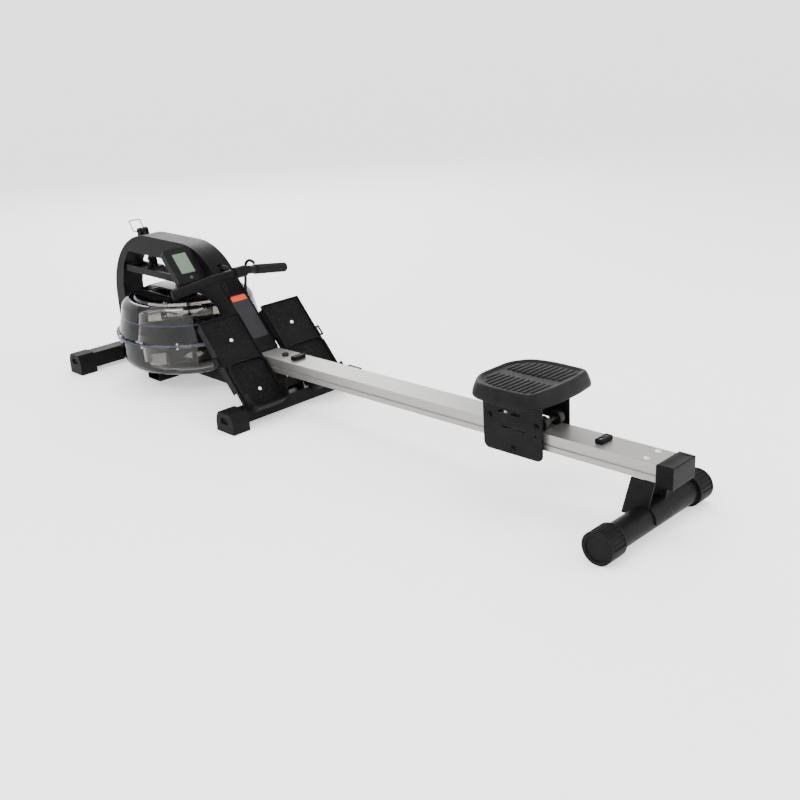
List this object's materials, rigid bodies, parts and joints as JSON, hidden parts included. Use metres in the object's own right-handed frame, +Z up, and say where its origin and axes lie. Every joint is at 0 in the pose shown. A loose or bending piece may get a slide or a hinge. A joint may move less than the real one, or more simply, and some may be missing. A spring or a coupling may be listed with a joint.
{
  "type": "rowing machine",
  "caption": "Water rower: round clear tank with an impeller under a hooded arch, one aluminium rail, sliding seat, footrests and pull handle.",
  "frame": {"origin": "centre of the footprint, on the floor", "axes": "+X towards the seat end of the rail, +Y to the right-hand side as the user sits facing the tank's arch from the seat, +Z up"},
  "size_m": [2.164, 0.508, 0.4815],
  "materials": {
    "aluminium": "brushed anodised",
    "black_steel": "semi-gloss powder coat",
    "grey_steel": "satin powder coat",
    "cover_plastic": "fine moulded texture",
    "foot_plastic": "moulded, matte",
    "black_plastic": "moulded, satin",
    "bright_steel": "zinc plated",
    "roller_rubber": "smooth polyurethane",
    "seat_foam": "moulded soft foam",
    "tank_clear": "clear polycarbonate",
    "gasket_blue": "satin",
    "impeller_plastic": "moulded",
    "cord_black": "braided",
    "console_plastic": "fine texture",
    "lcd": "reflective display",
    "button_grey": "satin",
    "grip_foam": "closed cell foam"
  },
  "bodies": {
    "root": {"rail": "aluminium", "rail_end_cap": "black_plastic", "rail_end_bolts": "bright_steel", "rail_stops": "black_plastic", "stop_screws": "bright_steel", "rail_bumper": "roller_rubber", "rear_foot_tube": "grey_steel", "rear_foot_bracket": "grey_steel", "rear_foot_caps": "foot_plastic", "base_beam": "black_steel", "front_foot_tube": "black_steel", "front_foot_caps": "foot_plastic", "middle_foot_tube": "black_steel", "middle_foot_caps": "foot_plastic", "tank_support_bar": "black_steel", "rail_bracket": "black_steel", "column_post": "black_steel", "front_post": "black_steel", "cross_beam": "black_steel", "cover_left": "cover_plastic", "cover_right": "cover_plastic", "tank_lower": "tank_clear", "tank_upper": "tank_clear", "tank_gasket": "gasket_blue", "tank_bolts": "bright_steel", "fill_plug": "black_plastic", "lower_bearing": "black_plastic", "upper_bearing": "black_plastic", "idler_fork": "black_steel", "pulley_axles": "bright_steel", "drive_cord": "cord_black", "console_case": "console_plastic", "console_screen": "lcd", "wire_pivots": "black_plastic", "footplate_left": "foot_plastic", "footplate_right": "foot_plastic", "handle_rest": "black_steel"},
    "seat": {"carriage_plate_left": "grey_steel", "carriage_plate_right": "grey_steel", "carriage_deck": "black_steel", "carriage_axles": "bright_steel", "carriage_screws": "black_steel", "seat_pan": "black_plastic", "seat_cushion": "seat_foam"},
    "front_roller": {"roller_front": "roller_rubber"},
    "rear_roller": {"roller_rear": "roller_rubber"},
    "left_guide": {"guide_roller_left": "roller_rubber"},
    "right_guide": {"guide_roller_right": "roller_rubber"},
    "rotor": {"impeller": "impeller_plastic", "drum": "black_plastic"},
    "idler": {"idler_pulley": "black_plastic"},
    "exit_pulley": {"exit_roller": "black_plastic"},
    "button": {"mode_button": "button_grey"},
    "wire": {"wire_rest": "black_steel"},
    "heel_left": {"heel_plate_left": "foot_plastic"},
    "heel_right": {"heel_plate_right": "foot_plastic"},
    "handle": {"handle_bar": "black_steel", "handle_grips": "grip_foam", "handle_clamp": "black_plastic", "pull_cord": "cord_black"}
  },
  "joints": [
    {"name": "seat_slide", "type": "slide", "parent": "root", "child": "seat", "axis": [0.9998, 0, 0.0188], "range_m": [-0.737, 0.12]},
    {"name": "front_roller_spin", "type": "hinge", "parent": "seat", "child": "front_roller", "pos_m": [0.59269, 0, 0.18998], "axis": [0, 1, 0], "range_deg": [-2481.7, 408.3]},
    {"name": "rear_roller_spin", "type": "hinge", "parent": "seat", "child": "rear_roller", "pos_m": [0.73067, 0, 0.19258], "axis": [0, 1, 0], "range_deg": [-2481.7, 408.3]},
    {"name": "left_guide_spin", "type": "hinge", "parent": "seat", "child": "left_guide", "pos_m": [0.66302, -0.034, 0.12019], "axis": [0, 1, 0], "range_deg": [-575.6, 3509.3]},
    {"name": "right_guide_spin", "type": "hinge", "parent": "seat", "child": "right_guide", "pos_m": [0.66302, 0.034, 0.12019], "axis": [0, 1, 0], "range_deg": [-575.6, 3509.3]},
    {"name": "impeller_spin", "type": "hinge", "parent": "root", "child": "rotor", "pos_m": [-0.71, 0, 0.288], "axis": [0, 0, 1], "continuous": true},
    {"name": "idler_spin", "type": "hinge", "parent": "root", "child": "idler", "pos_m": [-0.891, 0, 0.356], "axis": [0, 1, 0], "continuous": true},
    {"name": "exit_pulley_spin", "type": "hinge", "parent": "root", "child": "exit_pulley", "pos_m": [-0.535, 0, 0.368], "axis": [0, 1, 0], "continuous": true},
    {"name": "handle_pull", "type": "slide", "parent": "root", "child": "handle", "axis": [0.9962, 0, 0.0872], "range_m": [0, 1.1]},
    {"name": "heel_left_slide", "type": "slide", "parent": "root", "child": "heel_left", "axis": [-0.6626, 0, 0.749], "range_m": [0, 0.06]},
    {"name": "heel_right_slide", "type": "slide", "parent": "root", "child": "heel_right", "axis": [-0.6626, 0, 0.749], "range_m": [0, 0.06]},
    {"name": "wire_rest_hinge", "type": "hinge", "parent": "root", "child": "wire", "pos_m": [-0.926, 0, 0.45], "axis": [0, 1, 0], "range_deg": [0, 80]},
    {"name": "mode_button_press", "type": "slide", "parent": "root", "child": "button", "axis": [-0.7547, 0, -0.6561], "range_m": [0, 0.0012], "stiffness_N_per_m": 1000}
  ],
  "couplings": [
    {"joint": "front_roller_spin", "follows": "seat_slide", "rad_per_m": 58.651},
    {"joint": "rear_roller_spin", "follows": "seat_slide", "rad_per_m": 58.651},
    {"joint": "left_guide_spin", "follows": "seat_slide", "rad_per_m": -82.988},
    {"joint": "right_guide_spin", "follows": "seat_slide", "rad_per_m": -82.988},
    {"joint": "idler_spin", "follows": "impeller_spin", "ratio": 1.4889},
    {"joint": "exit_pulley_spin", "follows": "impeller_spin", "ratio": 2.2712}
  ]
}
